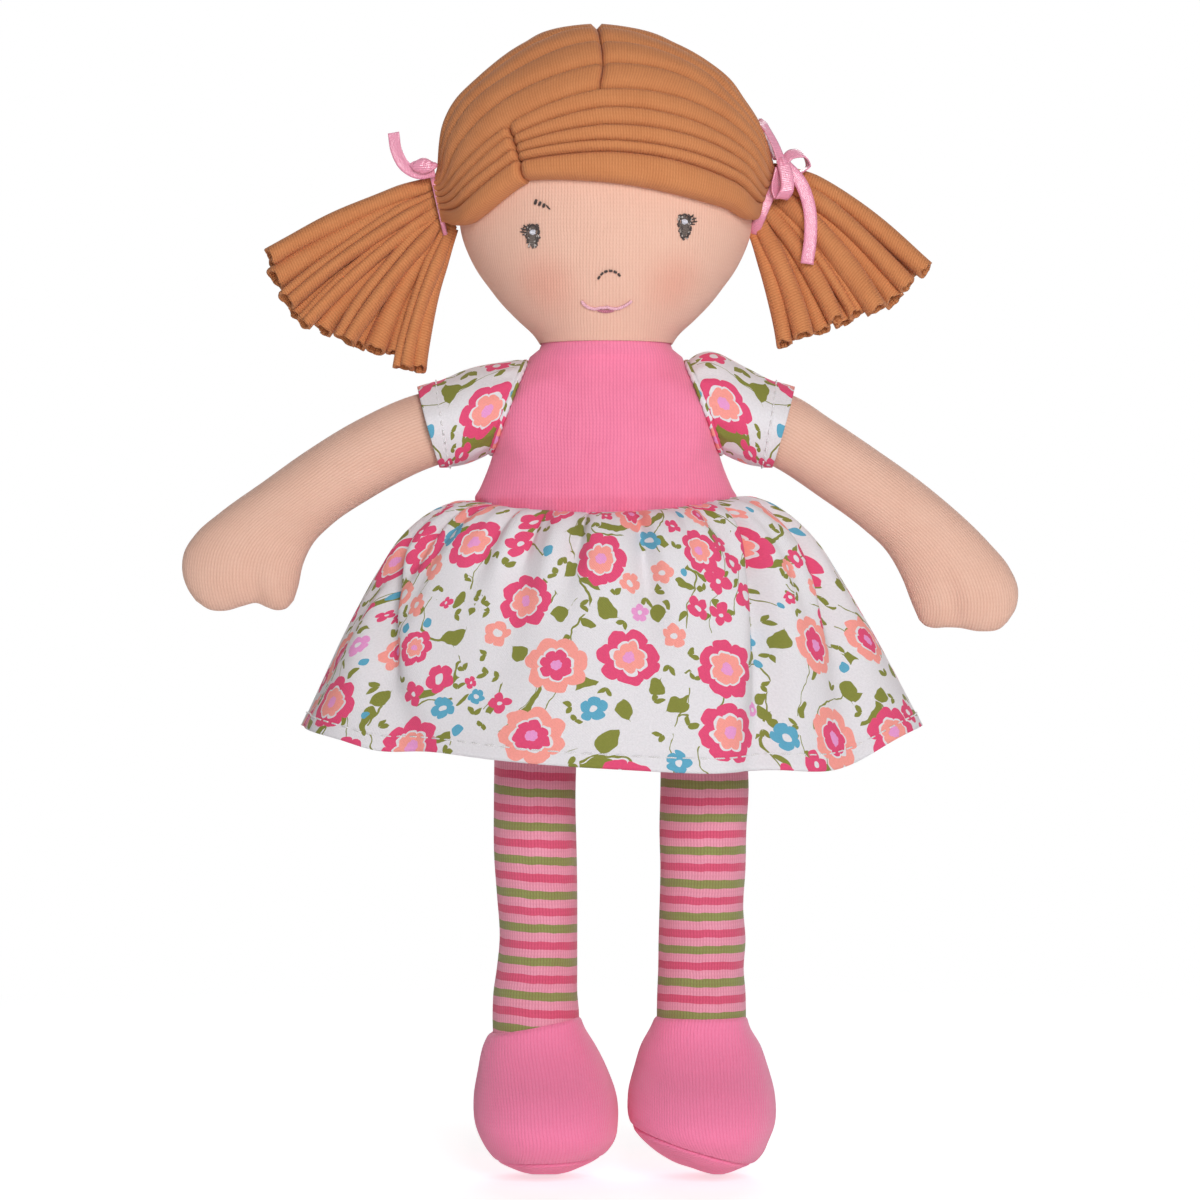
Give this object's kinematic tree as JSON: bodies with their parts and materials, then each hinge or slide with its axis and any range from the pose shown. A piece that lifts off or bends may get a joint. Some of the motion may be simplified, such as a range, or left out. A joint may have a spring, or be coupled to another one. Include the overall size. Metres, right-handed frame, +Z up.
{
  "type": "rag doll",
  "caption": "Soft stuffed cloth doll with ribbed knit hair in side pigtails, a gathered floral dress, striped legs and pink shoes.",
  "frame": {"origin": "middle of the waist seam, where a hand or a doll stand's clip holds the doll", "axes": "+Z up along the body, the doll faces -Y, +X is the doll's own left"},
  "size_m": [0.1905, 0.0862, 0.2595],
  "materials": {
    "hair_knit": "ribbed knit strips, matt",
    "satin_ribbon": "satin, soft sheen",
    "skin_jersey": "brushed cotton jersey, matt",
    "bodice_jersey": "cotton jersey, matt",
    "shoe_jersey": "cotton jersey, matt",
    "printed_cotton": "printed plain weave cotton, matt",
    "striped_jersey": "striped cotton jersey, matt",
    "dark_thread": "embroidery thread, soft sheen",
    "pink_thread": "embroidery thread, soft sheen"
  },
  "bodies": {
    "torso": {"torso": "bodice_jersey", "skirt": "printed_cotton"},
    "neck": {"neck_stub": "skin_jersey"},
    "head": {"head": "skin_jersey", "crown_strip_left_1": "hair_knit", "crown_strip_left_2": "hair_knit", "crown_strip_left_3": "hair_knit", "crown_strip_left_4": "hair_knit", "crown_strip_left_5": "hair_knit", "crown_strip_right_1": "hair_knit", "crown_strip_right_2": "hair_knit", "crown_strip_right_3": "hair_knit", "crown_strip_right_4": "hair_knit", "crown_strip_right_5": "hair_knit", "fringe_strip_left_1": "hair_knit", "fringe_strip_left_2": "hair_knit", "fringe_strip_left_3": "hair_knit", "fringe_strip_left_4": "hair_knit", "fringe_strip_left_5": "hair_knit", "fringe_strip_right_1": "hair_knit", "fringe_strip_right_2": "hair_knit", "fringe_strip_right_3": "hair_knit", "fringe_strip_right_4": "hair_knit", "back_hair_left": "hair_knit", "back_hair_right": "hair_knit", "ribbon_band_left": "satin_ribbon", "ribbon_band_right": "satin_ribbon", "ribbon_bow_left": "satin_ribbon", "ribbon_bow_right": "satin_ribbon", "eye_left": "dark_thread", "eye_right": "dark_thread", "eyebrow_right": "dark_thread", "nose_stitch": "dark_thread", "mouth_stitch": "pink_thread"},
    "pigtail_left": {"pigtail_strand_left_1": "hair_knit", "pigtail_strand_left_2": "hair_knit", "pigtail_strand_left_3": "hair_knit", "pigtail_strand_left_4": "hair_knit", "pigtail_strand_left_5": "hair_knit", "pigtail_strand_left_6": "hair_knit"},
    "pigtail_right": {"pigtail_strand_right_1": "hair_knit", "pigtail_strand_right_2": "hair_knit", "pigtail_strand_right_3": "hair_knit", "pigtail_strand_right_4": "hair_knit", "pigtail_strand_right_5": "hair_knit", "pigtail_strand_right_6": "hair_knit"},
    "shoulder_left": {"armhole_seam_left": "printed_cotton", "sleeve_left": "printed_cotton"},
    "shoulder_right": {"armhole_seam_right": "printed_cotton", "sleeve_right": "printed_cotton"},
    "arm_left": {"arm_left": "skin_jersey"},
    "arm_right": {"arm_right": "skin_jersey"},
    "hips": {"seat_seam": "bodice_jersey"},
    "leg_left": {"leg_left": "striped_jersey", "shoe_upper_left": "shoe_jersey", "shoe_sole_left": "shoe_jersey"},
    "leg_right": {"leg_right": "striped_jersey", "shoe_upper_right": "shoe_jersey", "shoe_sole_right": "shoe_jersey"}
  },
  "joints": [
    {"name": "head_nod", "type": "hinge", "parent": "torso", "child": "neck", "pos_m": [0, 0, 0.03], "axis": [1, 0, 0], "range_deg": [-20, 20], "stiffness_Nm_per_rad": 0.12},
    {"name": "head_turn", "type": "hinge", "parent": "neck", "child": "head", "pos_m": [0, 0, 0.03], "axis": [0, 0, 1], "range_deg": [-35, 35], "stiffness_Nm_per_rad": 0.03},
    {"name": "seat_fold", "type": "hinge", "parent": "torso", "child": "hips", "pos_m": [0, 0, -0.014], "axis": [-1, 0, 0], "range_deg": [0, 85], "deforming": ["skirt"]},
    {"name": "arm_swing_left", "type": "hinge", "parent": "torso", "child": "shoulder_left", "pos_m": [0.022, 0, 0.0223], "axis": [0.9349, 0, 0.355], "range_deg": [-40, 95]},
    {"name": "arm_lift_left", "type": "hinge", "parent": "shoulder_left", "child": "arm_left", "pos_m": [0.0296, 0, 0.0208], "axis": [0.03, -0.9994, 0.02], "range_deg": [-12, 20], "deforming": ["sleeve_left"]},
    {"name": "pigtail_swing_left", "type": "hinge", "parent": "head", "child": "pigtail_left", "pos_m": [0.0392, 0, 0.066], "axis": [0, -1, 0], "range_deg": [-5, 28], "stiffness_Nm_per_rad": 0.02},
    {"name": "arm_swing_right", "type": "hinge", "parent": "torso", "child": "shoulder_right", "pos_m": [-0.022, 0, 0.0223], "axis": [0.9349, 0, -0.355], "range_deg": [-40, 95]},
    {"name": "arm_lift_right", "type": "hinge", "parent": "shoulder_right", "child": "arm_right", "pos_m": [-0.0296, 0, 0.0208], "axis": [0.03, 0.9994, -0.02], "range_deg": [-12, 20], "deforming": ["sleeve_right"]},
    {"name": "pigtail_swing_right", "type": "hinge", "parent": "head", "child": "pigtail_right", "pos_m": [-0.0392, 0, 0.066], "axis": [0, 1, 0], "range_deg": [-5, 28], "stiffness_Nm_per_rad": 0.02},
    {"name": "leg_swing_left", "type": "hinge", "parent": "hips", "child": "leg_left", "pos_m": [0.022, 0, -0.0409], "axis": [0, -1, 0], "range_deg": [0, 22]},
    {"name": "leg_swing_right", "type": "hinge", "parent": "hips", "child": "leg_right", "pos_m": [-0.016, 0, -0.0406], "axis": [0, 1, 0], "range_deg": [0, 22]}
  ]
}
